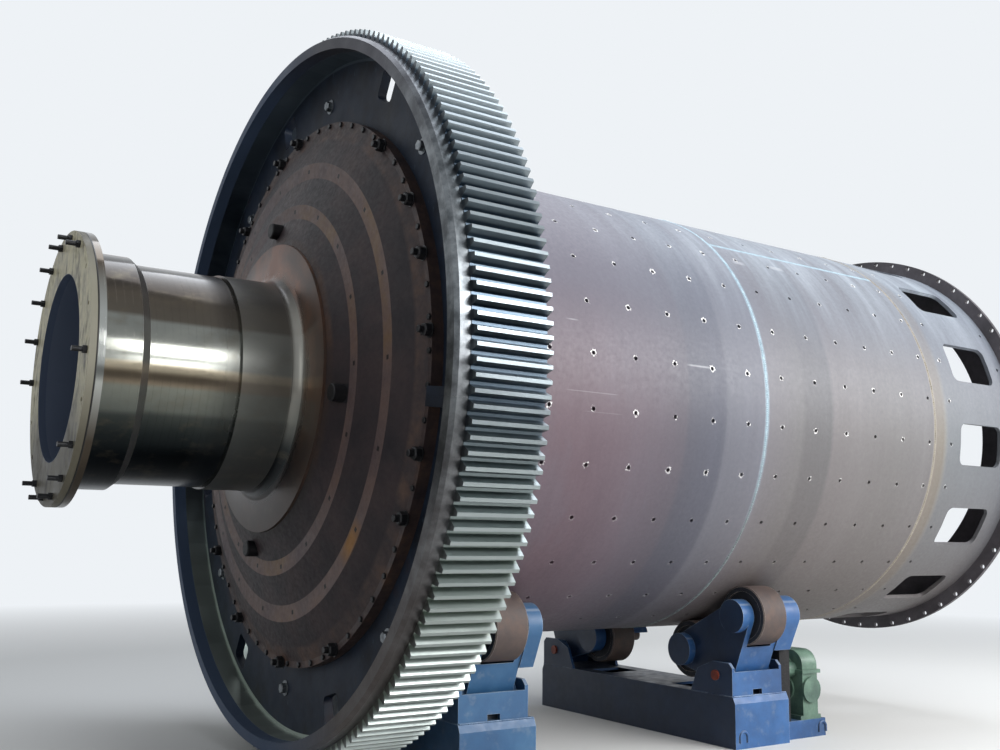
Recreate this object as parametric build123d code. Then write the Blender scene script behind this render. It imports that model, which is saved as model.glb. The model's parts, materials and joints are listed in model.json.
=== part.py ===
from build123d import *
import math
import os

# Rod mill drum lying on two self-aligning turning-roll stands, in millimetres.
# +X runs along the mill axis from the trunnion to the open discharge end, +Z is up.
# The origin is on the floor, under the middle of the mill.

# Mill axis and drum shell
axis_height = 2005.0
shell_radius = 1375.0
shell_wall = 25.0
course_1_length = 2110.0
course_2_length = 1575.0
discharge_length = 916.5
course_plates = 4
course_1_turn = 20.0
course_2_turn = 42.6
windows_per_plate = 3

# Trunnion, from its open mouth to the head
stud_reach = 66.0
stud_count = 18
studs_missing = (1, 2, 10, 11, 17)
stud_inset = 40.0
stud_radius = 12.0
nut_radius = 19.0
nut_height = 20.0
cover_thick = 36.0
flange_thick = 36.0
flange_radius = 685.0
bore_radius = 468.0
collar_step = 32.0
collar_length = 227.0
collar_taper = 40.0
journal_radius = 561.0
journal_length = 428.0
groove_width = 16.0
groove_depth = 15.0
land_step = 10.0
land_length = 260.0
fillet_radius = 55.0
flare_angle = 4.5
flare_radius = 791.0
trunnion_seat_depth = 50.0

# End head: a stepped cone with two flat bands
cone_angle = 20.0
register_gap = 1.0
head_step = 15.0
head_bore_step = 52.0
band_1 = (943.0, 1022.0)
band_2 = (1178.0, 1265.0)
head_flange_overhang = 129.0
head_flange_face = 34.0
head_flange_thick = 60.0
head_thick = 100.0
head_spigot_gap = 5.0
head_stub_circle = 895.0
head_stub_angles = (91.0, -8.0, -101.0)
head_stub_radius = 44.0
head_stub_reach = 55.0
head_stub_chamfer = 6.0

# Girth gear in two halves
gear_module = 20.0
gear_teeth = 196
pressure_angle = 20.0
dedendum = 1.25
gear_face = 380.0
gear_ahead = 121.0
rim_land_width = 73.5
rim_land_drop = 3.0
rim_land_chamfer = 20.0
rim_land_bevel = 14.0
rim_thick = 73.0
rim_steps = 36
gear_web_thick = 50.0
gear_web_clearance = 25.0
gear_split_angle = -7.4
gear_split_gap = 0.3
gear_windows = 8
gear_window_edge = 44.0
gear_window_height = 160.0
gear_window_width = 170.0
gear_window_corner = 30.0
joint_lug_thick = 45.0
joint_lug_clearance = 41.0
joint_lug_length = 300.0
lug_inset = 20.0
rim_overlap = 20.0

# Shell flange behind the gear, and the open discharge end
shell_flange_thick = 60.0
window_count = 15
window_length = 461.0
window_width = 281.0
window_corner = 50.0
window_start = 282.0
window_turn = 6.2
end_flange_thick = 30.0
end_flange_overhang = 89.0
end_flange_depth = 334.0
end_hole_count = 60
end_hole_radius = 16.5
end_hole_inset = 25.0

# Turning-roll stands. Heights on the base are measured from the pivot pins.
first_stand = 568.0
stand_spacing = 1881.0
beam_width = 456.0
beam_wall = 16.0
hand_hole_place = 405.0
hand_hole_length = 210.0
hand_hole_width = 240.0
end_bevel = 40.0
pin_above_beam = 112.0
pin_to_end = 152.4
box_above_pin = 27.0
box_setback = 18.0
cheek_corner = 28.0
cheek_flat = 164.0
cheek_shoulder = 289.0
cheek_length = 349.0
cheek_above_pin = 78.0
cheek_thick = 20.0
slot_width = 76.0
slot_height = 34.0
loop_width = 60.0
loop_leg = 30.0
loop_bar = 9.0
loop_from_side = 36.0
loop_top = 105.0
roller_radius = 175.0
roller_gap = 0.3
roller_angles = (36.4, 17.35)
roller_span = (-107.0, 87.0)
roller_rim = 32.0
roller_recess = 12.0
hub_wall = 22.0
roller_chamfer = 6.0
shaft_radius = 40.0
running_gap = 0.05
side_gap = 4.0
plate_thick = 39.0
far_boss_length = 39.0
housing_length = 51.0
case_lengths = (87.0, 142.0)
housing_radius = 98.0
case_radius = 112.0
case_above_pin = 138.0
housing_cap_wall = 20.0
pivot_radius = 30.0
pivot_drop = 262.0
pivot_boss = 68.0
pin_overhang = 12.0
web_top_above_pin = 168.0
web_bottom_above_pin = 12.0
web_thick = 16.0

# Drive reducer, the channel that carries it and the guard over its coupling
channel_height = 107.0
channel_near = 90.0
channel_width = 300.0
channel_wall = 12.0
channel_overhang = 40.0
guard_start_gap = 4.0
guard_length = 88.0
guard_width = 170.0
guard_above_pin = 128.0
guard_wall = 4.0
coupling_length = 110.0
coupling_radius = 48.0
coupling_clearance = 12.0
reducer_width = 135.0
reducer_depth = 290.0
reducer_above_pin = 119.5
reducer_foot = 25.0
reducer_corner = 95.0
reducer_rim_drop = 10.5
reducer_rim_thick = 22.0
reducer_rim_reach = 15.0
cover_disc_radius = 78.0
cover_disc_thick = 18.0
cover_disc_drop = 121.0

# Radii that follow from the driving sizes
shell_inner = shell_radius - shell_wall
head_flange_radius = shell_radius + head_flange_overhang
head_flange_inner = head_flange_radius - head_flange_face
head_back_radius = shell_inner - head_spigot_gap
end_flange_radius = shell_radius + end_flange_overhang
end_flange_inner = end_flange_radius - end_flange_depth
end_hole_circle = end_flange_radius - end_hole_inset
stud_circle = flange_radius - stud_inset
collar_radius = journal_radius + collar_step
land_radius = journal_radius + land_step
pitch_radius = gear_module * gear_teeth / 2
tip_radius = pitch_radius + gear_module
root_radius = pitch_radius - dedendum * gear_module
land_ring_radius = root_radius - rim_land_drop
rim_inner_radius = root_radius - rim_thick
gear_web_inner = shell_radius + gear_web_clearance
gear_window_circle = rim_inner_radius - gear_window_edge - gear_window_height / 2
joint_lug_inner = head_flange_radius + joint_lug_clearance

# Stations along the axis, measured from the tips of the trunnion studs
mouth = stud_reach
cover_back = mouth + cover_thick
flange_back = cover_back + flange_thick
collar_end = flange_back + collar_length
groove_start = collar_end + journal_length
land_start = groove_start + groove_width
fillet_start = land_start + land_length
slope = math.tan(math.radians(cone_angle))
flare_lean = math.radians(flare_angle)
arc_end_x = fillet_start + fillet_radius * math.cos(flare_lean)
arc_end_r = land_radius + fillet_radius * (1 - math.sin(flare_lean))
flare_end = arc_end_x + (flare_radius - arc_end_r) * math.tan(flare_lean)
seat = flare_end + trunnion_seat_depth
step_front = flare_end + head_step
band_1_front = step_front + (band_1[0] - flare_radius) * slope
band_2_front = band_1_front + (band_2[0] - band_1[1]) * slope
head_front = band_2_front + (head_flange_inner - band_2[1]) * slope
head_back = head_front + head_flange_thick
gear_web_back = head_back + gear_web_thick
gear_start = head_back - gear_ahead
gear_end = gear_start + gear_face
course_1_start = gear_web_back + shell_flange_thick
course_2_start = course_1_start + course_1_length
discharge_start = course_2_start + course_2_length
shell_end = discharge_start + discharge_length
mill_end = shell_end + end_flange_thick
shift = -mill_end / 2
stand_places = (course_1_start + first_stand, course_1_start + first_stand + stand_spacing)

# Places across a stand, measured from its middle
plate_near = (roller_span[0] - side_gap - plate_thick, roller_span[0] - side_gap)
plate_far = (roller_span[1] + side_gap, roller_span[1] + side_gap + plate_thick)
housing_near_end = plate_near[0] - housing_length
cheek_near = (-beam_width / 2, -beam_width / 2 + cheek_thick)
cheek_far = (plate_far[1] + far_boss_length, plate_far[1] + far_boss_length + cheek_thick)
guard_start = beam_width / 2 + guard_start_gap
reducer_start = guard_start + guard_length + coupling_length
channel_end = reducer_start + reducer_width + reducer_foot + channel_overhang


def roller_centre(index):
    reach = shell_radius + roller_gap + roller_radius
    a = math.radians(roller_angles[index])
    return -reach * math.sin(a), axis_height - reach * math.cos(a)


def pivot_centre():
    (y1, z1), (y2, z2) = roller_centre(0), roller_centre(1)
    a = math.radians(sum(roller_angles) / 2)
    return (y1 + y2) / 2 - pivot_drop * math.sin(a), (z1 + z2) / 2 - pivot_drop * math.cos(a)


# Sizes of the base that follow the pivot pins
pivot_y, pivot_z = pivot_centre()
half_length = pin_to_end - pivot_y
beam_height = pivot_z - pin_above_beam
box_top = pivot_z + box_above_pin
cheek_top = pivot_z + cheek_above_pin


def revolve_profile(points, start=0.0, arc=360.0):
    # points are (x, radius); the solid runs round the X axis from the start angle.
    face = make_face(Polyline(*[(x, r, 0) for x, r in points], close=True))
    solid = revolve(face, Axis.X, arc)
    return Rot(start, 0, 0) * solid


def ring(x1, x2, inner, outer, start=0.0, arc=360.0):
    return revolve_profile([(x1, inner), (x1, outer), (x2, outer), (x2, inner)], start, arc)


def rod(x1, x2, radius, y=0.0, z=0.0):
    return Pos((x1 + x2) / 2, y, z) * Rot(0, 90, 0) * Cylinder(radius, x2 - x1)


def polar(radius, degrees):
    # Degrees run from the near side (-Y) upwards to +Z.
    a = math.radians(degrees)
    return -radius * math.cos(a), radius * math.sin(a)


def box(x1, x2, y1, y2, z1, z2):
    centre = Pos((x1 + x2) / 2, (y1 + y2) / 2, (z1 + z2) / 2)
    return centre * Box(x2 - x1, y2 - y1, z2 - z1)


def slab(outline, x1, x2):
    return Pos(x1, 0, 0) * extrude(outline, x2 - x1, dir=(1, 0, 0))


def extrude_x(outline, x1, x2):
    # outline is a closed (y, z) outline, extruded from x1 to x2.
    return slab(make_face(Polyline(*[(0, y, z) for y, z in outline], close=True)), x1, x2)


def make_trunnion():
    groove_radius = journal_radius - groove_depth
    arc_middle = math.radians((90 - flare_angle) / 2)
    middle = (
        fillet_start + fillet_radius * math.sin(arc_middle),
        land_radius + fillet_radius * (1 - math.cos(arc_middle)),
    )
    front = [
        (cover_back, bore_radius),
        (cover_back, flange_radius),
        (flange_back, flange_radius),
        (flange_back, collar_radius),
        (collar_end - collar_taper, collar_radius),
        (collar_end, journal_radius),
        (groove_start, journal_radius),
        (groove_start, groove_radius),
        (land_start, groove_radius),
        (land_start, land_radius),
        (fillet_start, land_radius),
    ]
    back = [
        (arc_end_x, arc_end_r),
        (flare_end, flare_radius),
        (seat, flare_radius),
        (seat, bore_radius),
        (cover_back, bore_radius),
    ]
    edges = Polyline(*[(x, r, 0) for x, r in front])
    edges += ThreePointArc((*front[-1], 0), (*middle, 0), (*back[0], 0))
    edges += Polyline(*[(x, r, 0) for x, r in back])
    return revolve(make_face(edges), Axis.X, 360)


def make_studs():
    nut_outline = Plane.YZ * RegularPolygon(nut_radius, 6)
    stud = rod(0, mouth, stud_radius) + slab(nut_outline, mouth - nut_height, mouth)
    studs = []
    for k in range(stud_count):
        if k not in studs_missing:
            y, z = polar(stud_circle, 360 / stud_count * k)
            studs.append(Pos(0, y, z) * stud)
    return Compound(studs)


def make_cover_ring():
    # Its holes stay open where a stud is missing.
    cover = ring(mouth, cover_back, bore_radius, flange_radius)
    for k in studs_missing:
        y, z = polar(stud_circle, 360 / stud_count * k)
        cover -= rod(mouth, cover_back, stud_radius, y, z)
    return cover


def make_head():
    back_step = seat + head_thick - trunnion_seat_depth
    head_hole_radius = bore_radius + head_bore_step
    head = revolve_profile(
        [
            (seat, head_hole_radius),
            (seat, flare_radius + register_gap),
            (step_front, flare_radius + register_gap),
            (band_1_front, band_1[0]),
            (band_1_front, band_1[1]),
            (band_2_front, band_2[0]),
            (band_2_front, band_2[1]),
            (head_front, head_flange_inner),
            (head_front, head_flange_radius),
            (head_back, head_flange_radius),
            (head_back, head_back_radius),
            (back_step, flare_radius),
            (back_step, head_hole_radius),
        ]
    )
    # Round stubs stand on the cone; their roots end inside the casting.
    root = step_front + (head_stub_circle - flare_radius) * slope
    stub = rod(root - head_stub_reach, root + head_stub_radius, head_stub_radius)
    stub = chamfer(stub.edges().group_by(Axis.X)[0], head_stub_chamfer)
    for degrees in head_stub_angles:
        y, z = polar(head_stub_circle, degrees)
        head += Pos(0, y, z) * stub
    return head


def tooth_outline(first_angle):
    # Points of one tooth and the space after it, on a plane across the axis.
    pitch_angle = 360 / gear_teeth
    half_at_pitch = pitch_angle / 4
    flank = math.degrees(math.tan(math.radians(pressure_angle)) * gear_module / pitch_radius)
    half_at_tip = half_at_pitch - flank
    half_at_root = half_at_pitch + flank * dedendum
    centre = first_angle + pitch_angle / 2
    steps = (
        (root_radius, -half_at_root),
        (pitch_radius, -half_at_pitch),
        (tip_radius, -half_at_tip),
        (tip_radius, half_at_tip),
        (pitch_radius, half_at_pitch),
        (root_radius, half_at_root),
    )
    return [polar(r, centre + a) for r, a in steps]


def gear_window(degrees):
    outline = Plane.YZ * RectangleRounded(gear_window_height, gear_window_width, gear_window_corner)
    window = Pos(0, gear_window_circle, 0) * slab(outline, head_back, gear_web_back)
    return Rot(180 - degrees, 0, 0) * window


def make_gear_half(start):
    half_gap = gear_split_gap / 2
    trim = math.degrees(half_gap / root_radius)
    outline = [polar(root_radius, start + trim)]
    for k in range(gear_teeth // 2):
        outline += tooth_outline(start + k * 360 / gear_teeth)
    outline.append(polar(root_radius, start + 180 - trim))
    for k in range(rim_steps + 1):
        angle = start + 180 - trim - (180 - 2 * trim) * k / rim_steps
        outline.append(polar(rim_inner_radius, angle))
    half = extrude_x(outline, gear_start, gear_end)
    # revolve() turns from +Y to +Z, against the sense of polar().
    turn = trim - start
    arc = 180 - 2 * trim
    land_front = gear_start - rim_land_width
    land = [
        (land_front, rim_inner_radius),
        (land_front, land_ring_radius - rim_land_bevel),
        (land_front + rim_land_chamfer, land_ring_radius),
        (gear_start, land_ring_radius),
        (gear_start, rim_inner_radius),
    ]
    half += revolve_profile(land, turn, arc)
    half += ring(head_back, gear_web_back, gear_web_inner, rim_inner_radius + rim_overlap, turn, arc)
    for k in range(gear_windows):
        half -= gear_window(gear_split_angle + 360 / gear_windows * (k + 0.5))
    lug_x = gear_start + lug_inset
    lug_low = -joint_lug_thick - half_gap
    for degrees, low in ((start, lug_low), (start + 180, half_gap)):
        lug = box(
            lug_x,
            lug_x + joint_lug_length,
            joint_lug_inner,
            rim_inner_radius + lug_inset,
            low,
            low + joint_lug_thick,
        )
        half += Rot(180 - degrees, 0, 0) * lug
    return half


def make_course_plate(x1, x2, turn, k):
    arc = 360 / course_plates
    return ring(x1, x2, shell_inner, shell_radius, turn + k * arc, arc)


def make_discharge_plate(k):
    pitch = 360 / window_count
    arc = pitch * windows_per_plate
    plate = ring(discharge_start, shell_end, shell_inner, shell_radius, 0, arc)
    outline = RectangleRounded(window_length, window_width, window_corner)
    middle = discharge_start + window_start + window_length / 2
    cutter = Pos(middle, 0, shell_inner - window_width / 4) * extrude(outline, window_width)
    for n in range(windows_per_plate):
        # The cutter points up, and the plate starts on the +Y side.
        plate -= Rot(pitch * (n + 0.5) - 90, 0, 0) * cutter
    return Rot(window_turn + k * arc, 0, 0) * plate


def make_end_flange():
    flange = ring(shell_end, mill_end, end_flange_inner, end_flange_radius)
    for k in range(end_hole_count):
        y, z = polar(end_hole_circle, 360 / end_hole_count * k)
        flange -= rod(shell_end, mill_end, end_hole_radius, y, z)
    return flange


def make_roller(index, case_end):
    y, z = roller_centre(index)
    x1, x2 = roller_span
    tyre = rod(x1, x2, roller_radius)
    tyre = chamfer(tyre.edges().filter_by(GeomType.CIRCLE), roller_chamfer)
    dish = ring(0, roller_recess, shaft_radius + hub_wall, roller_radius - roller_rim)
    tyre -= Pos(x1, 0, 0) * dish
    tyre -= Pos(x2 - roller_recess, 0, 0) * dish
    near_end = housing_near_end + housing_cap_wall + side_gap
    far_end = case_end - housing_cap_wall - side_gap
    tyre += rod(near_end, far_end, shaft_radius)
    return Pos(0, y, z) * tyre


def rounded_hull(circles):
    # The convex outline round two or three (y, z, radius) circles, as a face across the axis.
    discs = [Pos(0, y, z) * (Plane.YZ * Circle(r)) for y, z, r in circles]
    hull = discs[0]
    for a, b in zip(circles, circles[1:] + circles[:1]):
        angle = math.atan2(b[1] - a[1], b[0] - a[0])
        lean = math.acos((a[2] - b[2]) / math.dist(a[:2], b[:2]))
        corners = []
        for (y, z, r), side in ((a, lean), (b, lean), (b, -lean), (a, -lean)):
            corners.append((0, y + r * math.cos(angle + side), z + r * math.sin(angle + side)))
        hull += make_face(Polyline(*corners, close=True))
    for disc in discs[1:]:
        hull += disc
    if len(circles) > 2:
        hull += make_face(Polyline(*[(0, y, z) for y, z, r in circles], close=True))
    return hull


def make_rocker(case_end):
    upper, lower, pivot = roller_centre(0), roller_centre(1), pivot_centre()
    side = rounded_hull([(*upper, housing_radius), (*lower, housing_radius), (*pivot, pivot_boss)])
    rocker = slab(side, *plate_near) + slab(side, *plate_far)
    # The bearing case on the far side ends in a level edge above the base.
    case = rounded_hull([(*upper, case_radius), (*lower, housing_radius), (*pivot, pivot_boss)])
    below = box(
        plate_far[1],
        case_end,
        upper[0] - case_radius,
        0,
        pivot_z - pivot_boss,
        pivot_z + case_above_pin,
    )
    rocker += slab(case, plate_far[1], case_end) - below
    for y, z in (upper, lower):
        rocker += rod(housing_near_end, plate_near[0], housing_radius, y, z)
    rocker += rod(cheek_near[1] + side_gap, plate_near[0], pivot_boss, *pivot)
    rocker += rod(plate_far[1], cheek_far[0] - side_gap, pivot_boss, *pivot)
    # The web closes the outer side, flush with the edges of both side plates.
    angle = math.atan2(pivot[1] - upper[1], pivot[0] - upper[0])
    normal = angle - math.acos((housing_radius - pivot_boss) / math.dist(upper, pivot))
    high_y = upper[0] + housing_radius * math.cos(normal)
    high_z = upper[1] + housing_radius * math.sin(normal)
    lean = -math.tan(normal)
    web_top = pivot_z + web_top_above_pin
    web_bottom = pivot_z + web_bottom_above_pin
    top_y = high_y + (web_top - high_z) * lean
    bottom_y = high_y + (web_bottom - high_z) * lean
    web = [
        (top_y, web_top),
        (top_y + web_thick, web_top),
        (bottom_y + web_thick, web_bottom),
        (bottom_y, web_bottom),
    ]
    rocker += extrude_x(web, plate_near[0], plate_far[1])
    bore_near = housing_near_end + housing_cap_wall
    bore_far = case_end - housing_cap_wall
    for y, z in (upper, lower):
        rocker -= rod(bore_near, bore_far, shaft_radius + running_gap, y, z)
    rocker -= rod(cheek_near[0], cheek_far[1], pivot_radius + running_gap, *pivot)
    return rocker


def lifting_loop(x, y, top):
    # An upside-down U of round bar whose middle line lies in the face at y.
    bend = loop_width / 2
    loop = Rot(180, 0, 0) * revolve(Pos(bend, 0, 0) * Circle(loop_bar), Axis.Y, 180)
    for place in (-bend, bend):
        loop += Pos(place, 0, -loop_leg / 2) * Cylinder(loop_bar, loop_leg)
    return Pos(x, y, top - bend - loop_bar) * loop


def make_beam():
    # A welded box beam with bevelled ends and two hand holes in its top plate.
    half = beam_width / 2
    inner = half - beam_wall
    bevel_start = half_length - box_setback
    inner_length = bevel_start - beam_wall
    outline = [
        (-half_length, 0),
        (-half_length, beam_height - end_bevel),
        (-bevel_start, beam_height),
        (bevel_start, beam_height),
        (half_length, beam_height - end_bevel),
        (half_length, 0),
    ]
    beam = extrude_x(outline, -half, half)
    beam -= box(-inner, inner, -inner_length, inner_length, beam_wall, beam_height - beam_wall)
    for place in (-hand_hole_place, hand_hole_place):
        beam -= box(
            -hand_hole_width / 2,
            hand_hole_width / 2,
            place - hand_hole_length / 2,
            place + hand_hole_length / 2,
            beam_height - beam_wall,
            beam_height,
        )
    for end in (-half_length, half_length):
        beam += lifting_loop(loop_from_side + loop_width / 2 - half, end, loop_top)
    return beam


def make_end_boxes():
    # Two cheeks and an end plate stand on each end of the beam and carry the pivot pin.
    end = -half_length + box_setback
    cheek = [
        (end, beam_height),
        (end, cheek_top - cheek_corner),
        (end + cheek_corner, cheek_top),
        (end + cheek_flat, cheek_top),
        (end + cheek_shoulder, box_top),
        (end + cheek_length, beam_height),
    ]
    box_end = extrude_x(cheek, *cheek_near) + extrude_x(cheek, *cheek_far)
    box_end += box(cheek_near[1], cheek_far[0], end, end + cheek_thick, beam_height, box_top)
    slot_middle = (cheek_near[0] + cheek_far[1]) / 2
    box_end -= box(
        slot_middle - slot_width / 2,
        slot_middle + slot_width / 2,
        end,
        end + cheek_thick,
        beam_height,
        beam_height + slot_height,
    )
    box_end -= rod(cheek_near[0], cheek_far[1], pivot_radius + running_gap, pivot_y, pivot_z)
    return box_end + mirror(box_end, Plane.XZ)


def make_pins():
    pin = rod(cheek_near[0] - pin_overhang, cheek_far[1] + pin_overhang, pivot_radius, pivot_y, pivot_z)
    return pin + mirror(pin, Plane.XZ)


def make_channel():
    x1 = beam_width / 2
    near = pivot_y - channel_near
    far = near + channel_width
    channel = box(x1, channel_end, near, far, 0, channel_height)
    channel -= box(
        x1,
        channel_end,
        near + channel_wall,
        far,
        channel_wall,
        channel_height - channel_wall,
    )
    return channel + lifting_loop(channel_end - loop_width / 2, near, channel_height - channel_wall)


def make_reducer():
    # Its shafts run along X, so the case is an arch across the axis, split at half height.
    x1 = reducer_start
    x2 = x1 + reducer_width
    near = pivot_y - channel_near
    middle = near + reducer_depth / 2
    top = pivot_z + reducer_above_pin
    rim = pivot_z - reducer_rim_drop
    low_shaft = pivot_z - cover_disc_drop
    case = box(x1, x2, near, near + reducer_depth, channel_height, top)
    case = fillet(case.edges().filter_by(Axis.X).group_by(Axis.Z)[-1], reducer_corner)
    case += box(
        x1 - reducer_foot,
        x2 + reducer_foot,
        near,
        near + reducer_depth,
        channel_height,
        channel_height + reducer_foot,
    )
    case += box(
        x1 - reducer_rim_reach,
        x2 + reducer_rim_reach,
        near - reducer_rim_reach,
        near + reducer_depth + reducer_rim_reach,
        rim - reducer_rim_thick / 2,
        rim + reducer_rim_thick / 2,
    )
    for z in (pivot_z, low_shaft):
        case += rod(x1 - reducer_rim_reach, x1, cover_disc_radius, middle, z)
    case += rod(x1 - coupling_length - guard_wall, x1, coupling_radius, pivot_y, pivot_z)
    disc = Pos((x1 + x2) / 2, near - cover_disc_thick / 2, low_shaft)
    return case + disc * Rot(90, 0, 0) * Cylinder(cover_disc_radius, cover_disc_thick)


def make_guard():
    # A sheet hood, closed towards the stand, over the shaft between stand and reducer.
    x1 = guard_start
    x2 = guard_start + guard_length
    near = pivot_y - guard_width / 2
    far = pivot_y + guard_width / 2
    top = pivot_z + guard_above_pin
    hood = box(x1, x2, near, far, channel_height, top)
    hood -= box(
        x1 + guard_wall,
        x2,
        near + guard_wall,
        far - guard_wall,
        channel_height,
        top - guard_wall,
    )
    hole_radius = coupling_radius + coupling_clearance
    return hood - rod(x1, x1 + guard_wall, hole_radius, pivot_y, pivot_z)


def drum_parts():
    parts = {
        "trunnion_studs": make_studs(),
        "trunnion_cover_ring": make_cover_ring(),
        "trunnion": make_trunnion(),
        "end_head": make_head(),
        "girth_gear_upper_half": make_gear_half(gear_split_angle),
        "girth_gear_lower_half": make_gear_half(gear_split_angle + 180),
        "shell_flange": ring(gear_web_back, course_1_start, shell_inner, head_flange_radius),
        "discharge_end_flange": make_end_flange(),
    }
    courses = (
        (course_1_start, course_2_start, course_1_turn),
        (course_2_start, discharge_start, course_2_turn),
    )
    for number, (x1, x2, turn) in enumerate(courses, 1):
        for k in range(course_plates):
            parts[f"shell_course_{number}_plate_{k + 1}"] = make_course_plate(x1, x2, turn, k)
    for k in range(window_count // windows_per_plate):
        parts[f"discharge_plate_{k + 1}"] = make_discharge_plate(k)
    return parts


def stand_parts(name, x, case_length):
    case_end = plate_far[1] + case_length
    rocker = make_rocker(case_end)
    parts = {
        f"{name}_beam": make_beam(),
        f"{name}_end_boxes": make_end_boxes(),
        f"{name}_rocker_near": rocker,
        f"{name}_rocker_far": mirror(rocker, Plane.XZ),
        f"{name}_pivot_pins": make_pins(),
    }
    for index, row in enumerate(("outer", "inner")):
        roller = make_roller(index, case_end)
        parts[f"{name}_roller_near_{row}"] = roller
        parts[f"{name}_roller_far_{row}"] = mirror(roller, Plane.XZ)
    return {key: Pos(x, 0, 0) * shape for key, shape in parts.items()}


def main():
    parts = {}
    for key, shape in drum_parts().items():
        parts[key] = Pos(0, 0, axis_height) * shape
    for number, (x, case_length) in enumerate(zip(stand_places, case_lengths), 1):
        parts.update(stand_parts(f"stand_{number}", x, case_length))
    drive = Pos(stand_places[-1], 0, 0)
    parts["drive_channel"] = drive * make_channel()
    parts["drive_reducer"] = drive * make_reducer()
    parts["drive_coupling_guard"] = drive * make_guard()
    os.makedirs("parts", exist_ok=True)
    for key, shape in parts.items():
        export_step(Pos(shift, 0, 0) * shape, f"parts/{key}.step")


main()
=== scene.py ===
import json
import math
import random

import bmesh
import bpy
from mathutils import Matrix, Vector


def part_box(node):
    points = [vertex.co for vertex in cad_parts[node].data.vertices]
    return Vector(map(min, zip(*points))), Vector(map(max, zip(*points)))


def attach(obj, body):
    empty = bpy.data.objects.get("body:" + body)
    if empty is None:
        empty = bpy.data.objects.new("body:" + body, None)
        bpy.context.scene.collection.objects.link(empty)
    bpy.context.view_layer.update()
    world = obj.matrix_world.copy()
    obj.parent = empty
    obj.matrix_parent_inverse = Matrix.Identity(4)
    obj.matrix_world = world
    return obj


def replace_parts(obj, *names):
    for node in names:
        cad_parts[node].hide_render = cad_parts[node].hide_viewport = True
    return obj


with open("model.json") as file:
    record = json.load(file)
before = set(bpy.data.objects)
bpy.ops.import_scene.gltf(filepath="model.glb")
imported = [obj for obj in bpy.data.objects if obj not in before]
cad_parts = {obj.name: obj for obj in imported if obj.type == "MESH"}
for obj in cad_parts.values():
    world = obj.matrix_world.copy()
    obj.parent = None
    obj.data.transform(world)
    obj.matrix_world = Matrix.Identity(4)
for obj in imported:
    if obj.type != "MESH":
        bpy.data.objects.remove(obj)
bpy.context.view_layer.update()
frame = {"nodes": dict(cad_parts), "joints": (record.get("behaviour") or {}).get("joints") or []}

# Rod mill drum lying on two turning-roll stands. Metres, +X along the mill axis, floor at z = 0.
nodes = frame["nodes"]
axisZ = [j for j in frame["joints"] if j["name"] == "drum_spin"][0]["pos_m"][2]
random.seed(11)


def nodesLike(start):
    return sorted(n for n in nodes if n.startswith(start))


def spanOf(names, axis):
    lows, highs = zip(*(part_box(n) for n in names))
    return min(v[axis] for v in lows), max(v[axis] for v in highs)


def linearColour(hexText):
    channels = [int(hexText[i:i + 2], 16) / 255 for i in (0, 2, 4)]
    return [c / 12.92 if c <= 0.04045 else ((c + 0.055) / 1.055) ** 2.4 for c in channels] + [1.0]


def addNode(tree, kind, inputs=(), stops=(), **settings):
    # A shader node is named without its prefix. Inputs come in the node's own order or by name: a socket is linked,
    # a hex text is a colour and None is left alone.
    node = tree.nodes.new(kind if "Node" in kind else "ShaderNode" + kind)
    for key, value in settings.items():
        setattr(node, key, value)
    for key, value in inputs.items() if isinstance(inputs, dict) else enumerate(inputs):
        if isinstance(value, bpy.types.NodeSocket):
            tree.links.new(value, node.inputs[key])
        elif value is not None:
            node.inputs[key].default_value = linearColour(value) if isinstance(value, str) else value
    if stops:
        elements = node.color_ramp.elements
        while len(elements) < len(stops):
            elements.new(0.5)
        for element, (place, hexText) in zip(elements, stops):
            element.position = place
            element.color = linearColour(hexText)
    return node


def startMaterial(name, metallic=0.0):
    material = bpy.data.materials.new(name)
    material.use_nodes = True
    tree = material.node_tree
    skin = tree.nodes["Principled BSDF"]
    skin.inputs["Metallic"].default_value = metallic
    coords = addNode(tree, "TexCoord").outputs["Object"]
    return material, tree, skin, coords


def unevenness(coords, sizeMm, detail, rough, stretch=(1, 1, 1), shiftBy=0.0):
    # Noise with patches of a real size, drawn out where stretch is under 1.
    tree = coords.id_data
    place = addNode(tree, "Mapping", {"Vector": coords, "Scale": stretch, "Location": (shiftBy,) * 3})
    values = {"Vector": place.outputs["Vector"], "Scale": 1000 / sizeMm, "Detail": detail, "Roughness": rough}
    return addNode(tree, "TexNoise", values).outputs["Fac"]


def mottled(coords, hexTexts, patchMm, shiftBy=0.0, stretch=(1, 1, 1)):
    # Uneven colour; the hex colours go from one end of the noise to the other.
    noise, hexes = unevenness(coords, patchMm, 7.0, 0.62, stretch, shiftBy), hexTexts.split()
    stops = [(0.32 + 0.36 * i / (len(hexes) - 1), hexText) for i, hexText in enumerate(hexes)]
    return addNode(coords.id_data, "ValToRGB", [noise], stops).outputs["Color"], noise


def product(tree, *parts):
    # Parts are sockets, numbers, or (value, from, to, least, most) for a mask that fades in between two values.
    result = None
    for part in parts:
        if isinstance(part, tuple):
            part = addNode(tree, "MapRange", part).outputs["Result"]
        if result is not None:
            part = addNode(tree, "Math", [result, part], operation="MULTIPLY").outputs[0]
        result = part
    return result


def zoneMask(value, low, high, soft):
    # 1 between low and high, with a soft edge.
    rise, fall = (value, low - soft, low + soft), (value, high - soft, high + soft, 1.0, 0.0)
    return product(value.id_data, rise, fall)


def layOver(tree, colour, *coats, kind="MIX"):
    # Each coat is its own colour and the masks that say where it lies.
    for over, *masks in coats:
        sockets = {0: product(tree, *masks), 6: colour, 7: over}
        colour = addNode(tree, "Mix", sockets, data_type="RGBA", blend_type=kind).outputs[2]
    return colour


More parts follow.
